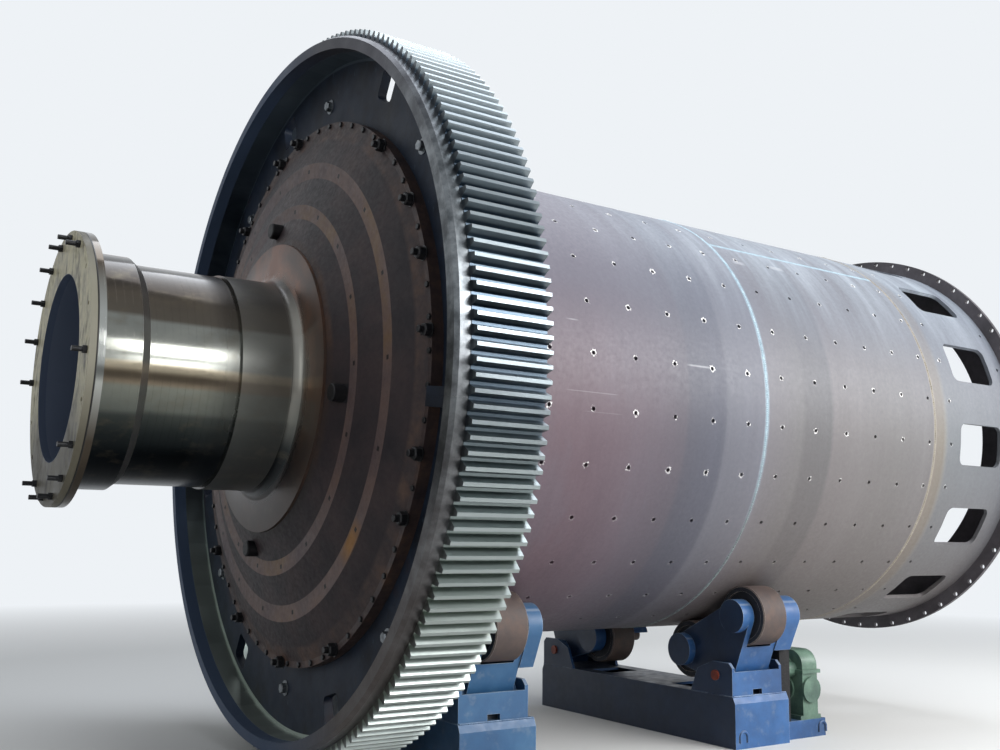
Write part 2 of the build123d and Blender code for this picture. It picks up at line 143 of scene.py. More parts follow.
def finishSkin(skin, coords, colour, rough, grainMm, depthMm, stretch=(1, 1, 1), marks=None):
    # rough is a socket, or a noise with the smoothest and the roughest value; marks is a bump below the grain.
    tree = skin.id_data
    if isinstance(rough, tuple):
        rough = product(tree, (rough[0], 0.3, 0.7, *rough[1:]))
    grain = unevenness(coords, grainMm, 5.0, 0.6, stretch)
    bump = addNode(tree, "Bump", {"Strength": 1.0, "Distance": depthMm / 1000, "Height": grain, "Normal": marks})
    for name, socket in (("Base Color", colour), ("Roughness", rough), ("Normal", bump.outputs["Normal"])):
        tree.links.new(socket, skin.inputs[name])


def dulledMetal(skin, zones, noise, smooth, extra):
    # Bare metal that is matte where paint, rust or dust lies on it; gives the roughness.
    tree, dull = skin.id_data, zones[0]
    for zone in zones[1:]:
        dull = addNode(tree, "Math", [dull, zone], operation="MAXIMUM").outputs[0]
    tree.links.new(product(tree, (dull, 0.0, 1.0, 1.0, 0.0)), skin.inputs["Metallic"])
    spread = product(tree, (noise, 0.3, 0.7, *smooth))
    return addNode(tree, "Math", [dull, extra, spread], operation="MULTIPLY_ADD").outputs[0]


def aboutAxis(coords):
    # Distance from the mill axis, the place along it, the angle in degrees from -Y up to +Z, and that angle folded
    # to -90 at the bottom and 90 at the top on both sides, so that a change with height has no seam.
    tree = coords.id_data
    parts = addNode(tree, "SeparateXYZ", [coords]).outputs
    height = addNode(tree, "Math", [parts["Z"], axisZ], operation="SUBTRACT").outputs[0]
    flat = addNode(tree, "CombineXYZ", [None, parts["Y"], height]).outputs["Vector"]
    radius = addNode(tree, "VectorMath", [flat], operation="LENGTH").outputs["Value"]
    nearSide = product(tree, parts["Y"], -1.0)
    turn = addNode(tree, "Math", [height, nearSide], operation="ARCTAN2").outputs[0]
    rise = addNode(tree, "Math", [turn], operation="SINE").outputs[0]
    folded = addNode(tree, "Math", [rise], operation="ARCSINE").outputs[0]
    angle, lift = (product(tree, value, 180 / math.pi) for value in (turn, folded))
    return radius, parts["X"], angle, lift


def facingOf(tree):
    normal = addNode(tree, "TexCoord").outputs["Normal"]
    return addNode(tree, "SeparateXYZ", [normal]).outputs


def edgeWearAndHighlight(tree, radiusMm, amount):
    # The outer corners of a piece, where paint chips first and where a painted edge highlight goes.
    flat = addNode(tree, "NewGeometry").outputs["Normal"]
    rounded = addNode(tree, "Bevel", {"Radius": radiusMm / 1000}, samples=4).outputs["Normal"]
    agree = addNode(tree, "VectorMath", [flat, rounded], operation="DOT_PRODUCT").outputs["Value"]
    return product(tree, (agree, 0.995, 0.86, 0.0, amount))


# Camera at the place the photograph was taken from, found from the drum's circles
cameraSet = {
    "behindMillEnd": 7.06009, "outToTheSide": 5.4854, "belowAxis": 0.8131,
    "yaw": 33.23315, "pitch": 7.59072, "roll": 1.58005, "lean": 1.6, "lens": 37.69, "sensor": 36.0, "farClip": 200,
}


def makeCamera():
    yaw, pitch, roll, lean = (math.radians(cameraSet[k]) for k in ("yaw", "pitch", "roll", "lean"))
    ahead = Vector((math.sin(yaw) * math.cos(pitch), math.cos(yaw) * math.cos(pitch), math.sin(pitch)))
    side = Vector((math.cos(yaw), -math.sin(yaw), 0))
    up = side.cross(ahead)
    right = side * math.cos(roll) + up * math.sin(roll)
    top = up * math.cos(roll) - side * math.sin(roll)
    turn = Matrix.Rotation(lean, 3, "X")
    columns = [turn @ right, turn @ top, turn @ -ahead]
    place = (
        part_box("discharge_end_flange")[1][0] - cameraSet["behindMillEnd"],
        -cameraSet["outToTheSide"], axisZ - cameraSet["belowAxis"],
    )
    data = bpy.data.cameras.new("photoCamera")
    data.lens = cameraSet["lens"]
    data.sensor_width = cameraSet["sensor"]
    data.clip_end = cameraSet["farClip"]
    camera = bpy.data.objects.new("photoCamera", data)
    bpy.context.scene.collection.objects.link(camera)
    camera.matrix_world = Matrix.Translation(place) @ Matrix(columns).transposed().to_4x4()
    bpy.context.scene.camera = camera


makeCamera()
print("camera placed")

# Materials of the drum
shellRadius = spanOf(nodesLike("shell_course_1"), 1)[1]
courseSpans = {
    "course1": spanOf(nodesLike("shell_course_1"), 0),
    "course2": spanOf(nodesLike("shell_course_2"), 0),
    "discharge": spanOf(nodesLike("discharge_plate"), 0),
}
shellStart, shellEnd = courseSpans["course1"][0], courseSpans["discharge"][1]
weldPlaces = (courseSpans["course1"][1], courseSpans["course2"][1])

plateSet = {
    # Metres from the start of the shell, so that each band keeps its place along the mill
    "oxideBands": [
        (0.0, "67565e"), (0.9, "695c66"), (1.3, "5f5862"), (1.49, "57535d"), (1.515, "4f4f5b"), (1.775, "4e505d"),
        (1.8, "64656f"), (2.1, "686973"), (2.13, "737075"), (2.41, "6e6c6d"), (2.44, "636163"), (2.665, "616062"),
        (2.69, "736f70"), (3.3, "706e6e"), (3.68, "6e6c6d"), (3.69, "858480"), (3.705, "797268"),
        (3.785, "777168"), (3.8, "858480"), (3.82, "6f7377"), (4.6, "696d73"),
    ],
    # Start, end, low angle, high angle and strength of scratches and paint smears on the near side
    "marks": [
        (0.69, 1.0, -3.1, -3.0, 0.2), (1.51, 1.69, 5.45, 5.85, 0.3), (0.71, 0.76, 12.3, 12.5, 0.35),
        (0.8, 1.03, -7.2, -7.12, 0.12), (2.2, 2.29, 39.8, 41.0, 0.25), (2.55, 2.66, 41.0, 42.5, 0.25),
    ],
    "plumFade": (1.6, 0.7), "brownFade": (1.4, 2.4), "skySheenFade": (0.9, 2.4),
    "brushHalf": 0.017, "groundHalf": 0.014, "seamStrip": (46.95, 48.25),
    # Chalk ring: how ragged its edge is, and its reach as a share of the hole's level plus a least reach
    "ragged": 0.044, "reachShare": 0.0055, "leastReach": 0.0115,
}


def rolledPlateMaterial():
    # Hot-rolled carbon steel plate with shop oxide: dull, banded where it was rolled, purple near the gear.
    material, tree, skin, coords = startMaterial("hotRolledPlateOxide")
    radius, along, angle, lift = aboutAxis(coords)
    share = product(tree, (along, shellStart, shellEnd))
    stops = [(offset / (shellEnd - shellStart), hexText) for offset, hexText in plateSet["oxideBands"]]
    colour = addNode(tree, "ValToRGB", [share], stops).outputs["Color"]
    bands = mottled(coords, "9d9da0 878588 a4a3a6 c3c2c6", 560, 0.0, (3.4, 0.2, 0.2))[0]
    colour = layOver(tree, colour, (bands, 0.22), kind="OVERLAY")
    plum, plumNoise = mottled(coords, "593e47 61454c 503f49", 700, 3.0, (1.6, 0.6, 0.6))
    skySheen, skySheenNoise = mottled(coords, "929ca7 a3afba bac4ce", 520, 6.0, (3.6, 0.4, 0.4))
    plumFade, brownFade, skySheenFade = (
        (along, *(shellStart + offset for offset in plateSet[key])) for key in ("plumFade", "brownFade", "skySheenFade")
    )
    # Painted sky reflection makes it cooler and greyer above; plum-red oxide low down near the gear, and brown
    # further along; a pale painted sky sheen in streaky patches high on the second and third courses
    colour = layOver(
        tree, colour,
        ("6a6d7a", (lift, -5.0, 24.0, 0.0, 0.55)),
        (plum, (lift, 22.0, -12.0), plumFade, (plumNoise, 0.38, 0.62, 0.1, 0.75)),
        ("62554f", (lift, -5.0, -55.0, 0.0, 0.55), brownFade),
        (skySheen, (lift, 12.0, 46.0), skySheenFade, (skySheenNoise, 0.34, 0.7, 0.12, 0.68)),
    )
    speckle, speckleNoise = mottled(coords, "8c8c8c 808080 7b7b7b 707070", 22)
    colour = layOver(tree, colour, (speckle, 0.3), kind="OVERLAY")
    for start, end, lowAngle, highAngle, strength in plateSet["marks"]:
        smear = zoneMask(along, shellStart + start, shellStart + end, 0.02)
        colour = layOver(tree, colour, ("c9cbce", smear, zoneMask(angle, lowAngle, highAngle, 0.12), strength))
    # Plate brushed bright beside the weld beads, the brushing fading out low down
    brushed = mottled(coords, "78858f 879aa6 9aadb9", 40, 14.0)[0]
    firstWeld, secondWeld = (
        zoneMask(along, place - half, place + half, 0.005)
        for place, half in zip(weldPlaces, (plateSet["brushHalf"], plateSet["groundHalf"]))
    )
    colour = layOver(
        tree, colour,
        (brushed, firstWeld, (lift, -32.0, -6.0, 0.1, 0.65)),
        (brushed, zoneMask(along, *weldPlaces, 0.003), zoneMask(angle, *plateSet["seamStrip"], 0.2), 0.8),
        ("8f867a", secondWeld, 0.5),
    )
    # Chalk and bright burrs round the liner holes, on the hole's own map in metres
    holeMap = addNode(tree, "UVMap", uv_map="holeMap").outputs["UV"]
    ragged = addNode(tree, "TexNoise", {"Vector": coords, "Scale": 95.0, "Detail": 2.0}).outputs["Fac"]
    away = addNode(tree, "VectorMath", [holeMap], operation="LENGTH").outputs["Value"]
    level = addNode(tree, "Attribute", attribute_name="chalkLevel").outputs["Fac"]
    edge, reach = (
        addNode(tree, "Math", values, operation="MULTIPLY_ADD").outputs[0] for values in (
            [ragged, plateSet["ragged"], -plateSet["ragged"] / 2],
            [level, plateSet["reachShare"], plateSet["leastReach"]],
        )
    )
    limit = addNode(tree, "Math", [reach, edge], operation="ADD").outputs[0]
    inside = addNode(tree, "Math", [limit, away], operation="SUBTRACT").outputs[0]
    # Some rings were rubbed off on one side and are only arcs
    rubbed = addNode(tree, "TexNoise", {"Vector": coords, "Scale": 26.0, "Detail": 1.0}).outputs["Fac"]
    outer = zoneMask(radius, shellRadius - 0.004, shellRadius + 0.01, 0.001)
    colour = layOver(tree, colour, (
        "eceae8", (inside, -0.001, 0.002), (level, 0.0, 0.3), (lift, -30.0, -8.0, 0.15, 1.0),
        (rubbed, 0.38, 0.5, 0.1, 0.92), outer,
    ))
    finishSkin(skin, coords, colour, (speckleNoise, 0.46, 0.62), 14, 0.22)
    return material


# Metres from the mouth of the trunnion, apart from the fillet and flare, which are measured from the fillet's start
trunnionSet = {
    "filletFromEnd": 0.118, "filletSpan": (-0.004, 0.05), "flareFade": (0.045, 0.07), "flareEdge": (0.66, 0.72),
    "taper": (0.223, 0.263), "landStart": 0.707, "grooveFade": (0.5, 0.69), "flangeEnd": 0.036, "jointEnd": 0.004,
    "boreEdge": (0.472, 0.469), "lineMm": 6, "lineHeight": 0.0003,
    # Painted reflection and shade round the journal, by share of the way from the bottom to the top: near black below,
    # light bands and a bright highlight band at mid-height, brown-grey above
    "reflectionBands": [
        (0.0, "14191e"), (0.22, "181e23"), (0.3, "33393a"), (0.35, "494e4c"), (0.365, "6b6f6a"), (0.425, "73766f"),
        (0.435, "7c7163"), (0.458, "857868"), (0.466, "aa9d88"), (0.482, "b0a692"), (0.492, "8b8d88"),
        (0.605, "8b8d88"), (0.617, "625c54"), (0.68, "5a534b"), (0.72, "3a342f"), (1.0, "2a2420"),
    ],
}


def trunnionMaterial():
    # Turned carbon steel, oiled; its colour round the axis is painted reflection and shade: a bright band at
    # mid-height, brown-grey above and nearly black below.
    material, tree, skin, coords = startMaterial("turnedTrunnionSteel", 1.0)
    radius, along, _, lift = aboutAxis(coords)
    mouth, back = (corner[0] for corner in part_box("trunnion"))
    fillet = back - trunnionSet["filletFromEnd"]
    around = product(tree, (lift, -90.0, 90.0))
    steel = addNode(tree, "ValToRGB", [around], trunnionSet["reflectionBands"]).outputs["Color"]
    blotch, steelNoise = mottled(coords, "6b6b68 7d7d7b 8f8e8a a09d96", 300, 0.0, (0.5, 1, 1))
    colour = layOver(tree, steel, (blotch, 0.55), kind="OVERLAY")
    stain, stainNoise = mottled(coords, "34332f 51493d 5f5849", 90, 5.0, (0.6, 1, 1))
    colour = layOver(tree, colour, (stain, (stainNoise, 0.52, 0.74, 0.0, 0.45)))
    # Painted sheen: a silver-grey band at mid-height, laid on the fillet
    filletSheen = layOver(tree, colour, ("8f8d86", zoneMask(lift, -26.0, 40.0, 14.0), 0.8))
    rust, rustNoise = mottled(coords, "4a372f 6b4733 855337 a0663d", 190, 9.0)
    rust = layOver(
        tree, rust,
        ("2b2728", (lift, 32.0, -45.0, 0.0, 0.85)),
        ("34271f", (radius, *trunnionSet["flareEdge"], 0.0, 0.75)),
    )
    # Painted highlight: a silver band at mid-height on the flange ring
    flangeSheen = layOver(tree, "554d44", ("9a9c98", zoneMask(lift, -24.0, 27.0, 12.0)))
    curve = zoneMask(along, *(fillet + offset for offset in trunnionSet["filletSpan"]), 0.006)
    flare = product(tree, (along, *(fillet + offset for offset in trunnionSet["flareFade"])))
    taper = zoneMask(along, *(mouth + offset for offset in trunnionSet["taper"]), 0.002)
    land = zoneMask(along, mouth + trunnionSet["landStart"], fillet, 0.002)
    crest = product(tree, (lift, 66.0, 80.0), (rustNoise, 0.36, 0.56, 0.2, 1.0))
    flange, joint = (
        zoneMask(along, mouth - 0.1, mouth + trunnionSet[key], 0.001) for key in ("flangeEnd", "jointEnd")
    )
    bore = product(tree, (radius, *trunnionSet["boreEdge"]))
    nearGroove = product(tree, (along, *(mouth + offset for offset in trunnionSet["grooveFade"])))
    # Taper behind the collar and land behind the groove are dull, so that neither mirrors the gear
    colour = layOver(
        tree, colour, (filletSheen, curve), (rust, flare), ("4b4b4a", taper, 0.55), ("80807c", land, 0.28),
        ("6f4329", crest), (flangeSheen, flange), ("1b1a19", joint), ("465063", bore),
    )
    dulled = ((taper, 0.8), (land, 0.6), (curve, 0.5), (crest, 0.8), (joint, 0.9), (nearGroove, 0.4))
    zones = [flare, bore] + [product(tree, zone, amount) for zone, amount in dulled]
    rough = dulledMetal(skin, zones, steelNoise, (0.09, 0.15), 0.36)
    # Turning marks are under 1 mm apart; drawn 6 mm apart so that they show.
    lines = addNode(
        tree, "TexWave",
        {"Vector": coords, "Scale": 1000 / trunnionSet["lineMm"] / 20, "Distortion": 0.4, "Detail": 2.0},
        wave_type="BANDS", bands_direction="X", wave_profile="SAW",
    ).outputs["Fac"]
    marks = addNode(tree, "Bump", {"Strength": 0.3, "Distance": trunnionSet["lineHeight"], "Height": lines})
    finishSkin(skin, coords, colour, rough, 60, 0.07, (0.3, 1, 1), marks.outputs["Normal"])
    return material


gearSet = {
    "landWidth": 0.0735, "rimDepth": 0.1155, "tipFade": (0.012, 0.002),
    # Angles at which painted shade on the far half of the land begins, and where the land stops being a mirror
    "farLandShade": ((76.0, 100.0), (-60.0, -85.0)), "matteFarLand": ((90.0, 190.0), (-190.0, -72.0)),
}


def gearMaterial():
    # Cast steel gear: hobbed bright teeth, a scuffed turned land, and a web in dark paint, made near-black with painted
    # shade of its recess.
    material, tree, skin, coords = startMaterial("hobbedCastSteel", 1.0)
    skin.inputs["Specular IOR Level"].default_value = 0.2
    radius, along, angle, lift = aboutAxis(coords)
    low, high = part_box("girth_gear_upper_half")
    front, tip = low[0], high[1]
    tooth, toothNoise = mottled(coords, "3f4953 4b5660 5a6670", 260, 0.0, (0.4, 1, 1))
    # Painted light and shade: the teeth lighter low down and darker on top
    tooth = layOver(
        tree, tooth,
        ("a0a89f", (lift, -8.0, -35.0, 0.0, 0.8)),
        ("3a444d", (lift, 45.0, 72.0, 0.0, 0.8)),
        ("b4bcbd", (radius, *(tip - depth for depth in gearSet["tipFade"]), 0.0, 0.4)),
    )
    # Painted shade on the land: darker on top and dark blue-grey on the far half; browner low down
    land = layOver(
        tree, mottled(coords, "3d4043 53575a 6c7073 7f8487", 110, 4.0)[0],
        ("4f4846", (lift, 5.0, -45.0, 0.0, 0.85)),
        ("35343c", (lift, 24.0, 52.0, 0.0, 0.9)),
        *(("3c4a60", (angle, *span)) for span in gearSet["farLandShade"]),
    )
    # Near-black web: dark paint deepened with painted shade of the recess
    web = mottled(coords, "0c1018 131a26 1b2432 221e26", 240, 7.0)[0]
    scuff, scuffNoise = mottled(coords, "3c4c5c 566878", 60, 12.0, (1, 2.5, 0.7))
    web = layOver(tree, web, (scuff, (scuffNoise, 0.66, 0.74, 0.0, 0.6)))
    onLand = zoneMask(along, front - 0.1, front + gearSet["landWidth"], 0.001)
    onWeb = zoneMask(radius, 0.0, tip - gearSet["rimDepth"], 0.0015)
    colour = layOver(tree, tooth, (land, onLand), (web, onWeb))
    # The far half of the rim is made matte, so it isn't a mirror there, and dust dulls the teeth on top
    zones = [onWeb]
    zones += [product(tree, onLand, zoneMask(angle, *span, 10.0)) for span in gearSet["matteFarLand"]]
    zones.append(product(tree, (lift, 48.0, 74.0, 0.0, 0.75)))
    rough = dulledMetal(skin, zones, toothNoise, (0.28, 0.42), 0.2)
    finishSkin(skin, coords, colour, rough, 14, 0.4)
    return material


# Radii in metres, angles in degrees from -Y up to +Z
headSet = {
    "flats": ((0.943, 1.022), (1.178, 1.265)), "patchAngles": (-47.0, -39.0), "patchRadii": (1.185, 1.262),
    "rim": (1.40, 1.52), "collar": (0.5, 0.83), "holeCircles": (0.985, 1.222), "holeRadius": 0.011,
    "holePitch": 20.0, "holeTurn": 9.4, "stubAngles": (91.0, -8.0, -101.0), "stubHalf": 2.9,
    "stubRadii": (0.849, 0.941),
}


def headMaterial():
    # Machined steel casting under plum-brown oxide: turned flats show lighter, with a few orange rust patches.
    material, tree, skin, coords = startMaterial("castHeadOxide")
    skin.inputs["Specular IOR Level"].default_value = 0.25
    radius, _, angle, lift = aboutAxis(coords)
    colour = mottled(coords, "211b20 2c2528 372c2e 403433", 300)[0]
    flats = mottled(coords, "51444a 605150 6e5a54 7a6148", 520, 2.0)[0]
    rim = mottled(coords, "322b2e 463937 5c473d", 130, 6.0)[0]
    # The last turned step round the trunnion flange holds the most rust
    collar = mottled(coords, "2f2729 40312d 553d30", 170, 9.0)[0]
    collar = layOver(tree, collar, ("262223", (lift, 15.0, -50.0, 0.1, 0.9)))
    patch = zoneMask(angle, *headSet["patchAngles"], 2.5)
    colour = layOver(
        tree, colour,
        *((flats, zoneMask(radius, *span, 0.002)) for span in headSet["flats"]),
        ("9a6a24", patch, zoneMask(radius, *headSet["patchRadii"], 0.01), 0.8),
        (rim, zoneMask(radius, *headSet["rim"], 0.01)),
        (collar, zoneMask(radius, *headSet["collar"], 0.012)),
    )
    # Tapped jacking holes at an even pitch on both turned flats, drawn as black dots of painted shade, and dark patches
    # on the three stubs
    pitch, size = headSet["holePitch"], headSet["holeRadius"]
    shifted = addNode(tree, "Math", [angle, headSet["holeTurn"]], operation="ADD").outputs[0]
    around = addNode(tree, "Math", [shifted, pitch], operation="FLOORED_MODULO").outputs[0]
    for circle in headSet["holeCircles"]:
        half = math.degrees(size / circle)
        hole = zoneMask(around, pitch / 2 - half, pitch / 2 + half, 0.1)
        colour = layOver(tree, colour, ("0b0b0d", hole, zoneMask(radius, circle - size, circle + size, 0.002)))
    for place in headSet["stubAngles"]:
        stub = zoneMask(angle, place - headSet["stubHalf"], place + headSet["stubHalf"], 0.1)
        colour = layOver(tree, colour, ("111014", stub, zoneMask(radius, *headSet["stubRadii"], 0.002)))
    grey, greyNoise = mottled(coords, "8a8a8a 7d7d7d 6f6f6f", 26)
    colour = layOver(tree, colour, (grey, 0.4), kind="OVERLAY")
    rings = addNode(
        tree, "TexWave", {"Vector": coords, "Scale": 4.0, "Distortion": 1.2, "Detail": 2.0},
        wave_type="RINGS", rings_direction="X",
    ).outputs["Fac"]
    marks = addNode(tree, "Bump", {"Strength": 0.15, "Distance": 0.001, "Height": rings}).outputs["Normal"]
    finishSkin(skin, coords, colour, (greyNoise, 0.42, 0.62), 18, 0.6, (1, 1, 1), marks)
    return material


def plainMaterial(name, hexTexts, patchMm, rough, grainMm, depthMm, metallic=0.0):
    material, tree, skin, coords = startMaterial(name, metallic)
    colour = mottled(coords, hexTexts, patchMm)[0]
    fine, fineNoise = mottled(coords, "8c8c8c 808080 707070", patchMm / 9)
    colour = layOver(tree, colour, (fine, 0.5), kind="OVERLAY")
    finishSkin(skin, coords, colour, (fineNoise, *rough), grainMm, depthMm)
    return material


def beadMaterial():
    # Weld metal on the shell seam: pale blue-grey where brushed, darker low down.
    material, tree, skin, coords = startMaterial("brushedWeldBead")
    lift = aboutAxis(coords)[3]
    bead, beadNoise = mottled(coords, "8199a6 9bb4c1 b2c8d2", 60)
    colour = layOver(tree, bead, ("56605c", (lift, 0.0, -32.0, 0.0, 0.9)))
    finishSkin(skin, coords, colour, (beadNoise, 0.35, 0.5), 5, 0.3)
    return material


def enamelMaterial(name, hexTexts, dustHex, dust, chipsAndEdgeHighlight, shadeTowardsGear):
    # Brushed shop enamel on welded plate: half gloss, dusty on top faces, with painted shade on the faces towards
    # the gear, pale at corners from chips and a painted edge highlight, and a painted highlight on ledges at 45
    # degrees.
    material, tree, skin, coords = startMaterial(name)
    colour, noise = mottled(coords, hexTexts, 340)
    grime, grimeNoise = mottled(coords, "2b3340 5b6877 7d8890", 60, 2.5)
    facing = facingOf(tree)
    colour = layOver(
        tree, colour,
        (grime, (grimeNoise, 0.55, 0.75, 0.0, 0.35)),
        (dustHex, (facing["Z"], 0.75, 0.98, 0.0, dust)),
        # Painted shade on faces that look towards -X
        ("141823", (facing["X"], -0.4, -0.8, 0.0, shadeTowardsGear)),
        # Painted highlight on ledges sloping at 45 degrees
        ("8792a0", zoneMask(facing["Z"], 0.66, 0.76, 0.03), 0.55),
        # Pale corners: chipped paint and a painted edge highlight
        ("a8b6c4", edgeWearAndHighlight(tree, 5, chipsAndEdgeHighlight), (noise, 0.4, 0.6)),
    )
    finishSkin(skin, coords, colour, (grimeNoise, 0.34, 0.6), 12, 0.3)
    return material


def rollerMaterial():
    # Forged roller: matte rust on the tread, a bright worn line at the corner, near-black on the end faces.
    material, tree, skin, coords = startMaterial("rolledTreadRust")
    tread, treadNoise = mottled(coords, "3c3231 4b3f3b 5b4b44", 90)
    endwise = addNode(tree, "Math", [facingOf(tree)["X"]], operation="ABSOLUTE").outputs[0]
    colour = layOver(tree, tread, ("1b1d24", (endwise, 0.9, 0.96)), ("b9b1aa", edgeWearAndHighlight(tree, 4, 0.85)))
    finishSkin(skin, coords, colour, (treadNoise, 0.55, 0.8), 6, 0.3)
    return material


def primerMaterial():
    # Beige primer brushed on the cover ring, worn to steel, stained by cutting oil, and darker towards the bottom; the
    # outer rim has a painted highlight at mid-height.
    material, tree, skin, coords = startMaterial("brushedBeigePrimer")
    skin.inputs["Specular IOR Level"].default_value = 0.15
    radius, along, _, lift = aboutAxis(coords)
    back, outer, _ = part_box("trunnion_cover_ring")[1]
    primer, primerNoise = mottled(coords, "857f69 aba58d c2bca1 99937b", 110)
    stain, stainNoise = mottled(coords, "7a7366 4b463e 29282a", 70, 8.0, (1, 1.6, 0.5))
    # Painted highlight: the outer rim lighter at mid-height
    rim = layOver(tree, "5c584c", ("8d8a7c", zoneMask(lift, -20.0, 45.0, 14.0)))
    colour = layOver(
        tree, primer,
        (stain, (stainNoise, 0.5, 0.66, 0.0, 0.85)),
        ("35322f", (lift, -4.0, -42.0, 0.0, 0.88)),
        (rim, zoneMask(radius, outer - 0.001, outer + 1.0, 0.0005)),
        ("1b1a19", zoneMask(along, back - 0.004, back + 0.1, 0.001)),    # oil drawn into the joint
        ("465063", (radius, 0.471, 0.4685)),
    )
    finishSkin(skin, coords, colour, (primerNoise, 0.38, 0.6), 20, 0.5)
    return material


finishes = {
    "plate": rolledPlateMaterial(),
    "turned": trunnionMaterial(),
    "gear": gearMaterial(),
    "head": headMaterial(),
    "primer": primerMaterial(),
    "roller": rollerMaterial(),
    "bead": beadMaterial(),
    "blue": enamelMaterial("blueShopEnamel", "1f4069 284f7f 315f93", "5a6a7a", 0.4, 0.8, 0.8),
    "dustyBlue": enamelMaterial("dustyBlueEnamel", "21466b 2a5278 386083", "62707b", 0.45, 0.8, 0.5),
    # Blue enamel with dark yard dirt on top and painted shade on the faces towards the gear
    "dirtyBlue": enamelMaterial("dirtyShadedBlueEnamel", "20436b 2a5282 336196", "3f434b", 0.85, 0.6, 0.85),
    # Far seam ground flush, still warm brown
    "groundBead": plainMaterial("groundWeldBead", "7d7566 958c7a a59e8f", 60, (0.4, 0.55), 5, 0.3),
    # Black-oxidised bolts and nuts, oily
    "bolt": plainMaterial("blackOxideBolt", "0f1013 191a1e 27262a", 40, (0.35, 0.55), 8, 0.2, 0.3),
    # Plated bolts, still bright
    "brightBolt": plainMaterial("zincPlatedBolt", "6d7176 8a9095 a4a8ab", 40, (0.3, 0.45), 8, 0.2, 0.9),
    # Red-oxide primer on the pivot pins
    "pin": plainMaterial("redOxidePrimer", "6d2a1a 8e3a22 a84a2c", 60, (0.45, 0.65), 10, 0.3),
    # Green machine enamel on cast iron, oily and dusty
    "green": plainMaterial("greenMachineEnamel", "4a6258 5f7c6b 7a9886", 150, (0.3, 0.55), 12, 0.5),
    # Black painted sheet guard, dusty
    "guard": plainMaterial("blackSheetGuard", "0a0b0d 111215 1c1a1b", 120, (0.75, 0.9), 14, 0.3),
    # Flame-cut plate flange with dark scale
    "flange": plainMaterial("flameCutPlateScale", "403c40 504b50 5e5a5f", 220, (0.45, 0.65), 12, 0.5),
}
print("materials made")


def finishFor(name):
    for start, finish in {
        "trunnion_studs": "bolt", "trunnion_cover": "primer", "trunnion": "turned", "end_head": "head",
        "shell_flange": "flange", "discharge_end_flange": "flange", "girth_gear": "gear", "drive_channel": "blue",
        "drive_reducer": "green", "drive_coupling_guard": "guard",
    }.items():
        if name.startswith(start):
            return finish
    if "_roller_" in name or name.endswith("_pins"):
        return "roller" if "_roller_" in name else "pin"
    if name.startswith("stand_1"):
        return "dustyBlue"
    return "dirtyBlue" if name.endswith("_beam") else "blue"


rebuilt = nodesLike("shell_course") + nodesLike("discharge_plate")
for name, node in nodes.items():
    if name not in rebuilt:
        node.data.materials.clear()
        node.data.materials.append(finishes[finishFor(name)])
print("CAD nodes dressed")


def linkMesh(name, mesh, material):
    piece = bpy.data.objects.new(name, mesh)
    bpy.context.scene.collection.objects.link(piece)
    if material is not None:
        mesh.materials.clear()
        mesh.materials.append(material)
    return piece


def plainCopy(piece, name):
    # The evaluated shape as a plain mesh with its maps, and the live modifiers left behind.
    graph = bpy.context.evaluated_depsgraph_get()
    mesh = bpy.data.meshes.new_from_object(piece.evaluated_get(graph), preserve_all_data_layers=True, depsgraph=graph)
    bpy.data.objects.remove(piece)
    result = linkMesh(name, mesh, None)
    mesh.shade_smooth()
    mesh.set_sharp_from_angle(angle=math.radians(32))
    return result


def onBody(piece, body="drum"):
    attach(piece, body)
    return piece


# Shell courses with their liner bolt holes; angles run from +Y up to +Z and places from the course's start
shellSet = {
    "wall": 0.025, "rows": 30, "rowPitch": 12, "firstRow": 186.5, "step": 3, "holeRadius": 0.012, "burrRing": 0.04,
    "course1Holes": (0.2862, 0.5742, 0.8512, 1.1312, 1.4072, 1.6852, 1.9602),
    "course2Holes": (0.1272, 0.4162, 0.6912, 0.9662, 1.2412, 1.5162),
    "dischargeHoles": 0.1742, "endHoles": 0.8512, "endHoleRows": (150.5, 162.5, 330.5, 342.5),
    "windowTurn": 186.2, "windowStart": 0.282, "windowLength": 0.461, "windowWidth": 0.281,
    "windowCorner": 0.05, "windowMargin": 0.0207, "farOff": 99,
    # How wide the chalk round a hole may be, picked at random
    "course1Chalk": (0.4, 0.7, 0.9, 1.0, 1.2), "course2Chalk": (0.05, 0.2, 0.4, 0.5, 0.8),
    "dischargeChalk": (0.1, 0.3, 0.5),
}


def startWall():
    wall = bmesh.new()
    wall.loops.layers.uv.new("holeMap")
    wall.faces.layers.float.new("chalkLevel")
    return wall


def addLoopStrips(wall, loops, centre, level):
    # Rings of faces between closed loops of points on a plane of x and arc length.
    holeMap = wall.loops.layers.uv["holeMap"]
    chalk = wall.faces.layers.float["chalkLevel"]
    rows = [[wall.verts.new((x, s, 0)) for x, s in loop] for loop in loops]
    for inner, outer in zip(rows, rows[1:]):
        for i in range(len(inner)):
            k = (i + 1) % len(inner)
            face = wall.faces.new((inner[k], outer[k], outer[i], inner[i]))
            face[chalk] = level
            for corner in face.loops:
                corner[holeMap].uv = (corner.vert.co.x - centre[0], corner.vert.co.y - centre[1])


def addPlain(wall, xs, ss):
    holeMap = wall.loops.layers.uv["holeMap"]
    grid = [[wall.verts.new((x, s, 0)) for s in ss] for x in xs]
    for a, b in zip(grid, grid[1:]):
        for i in range(len(ss) - 1):
            face = wall.faces.new((a[i + 1], b[i + 1], b[i], a[i]))
            for corner in face.loops:
                corner[holeMap].uv = (shellSet["farOff"],) * 2


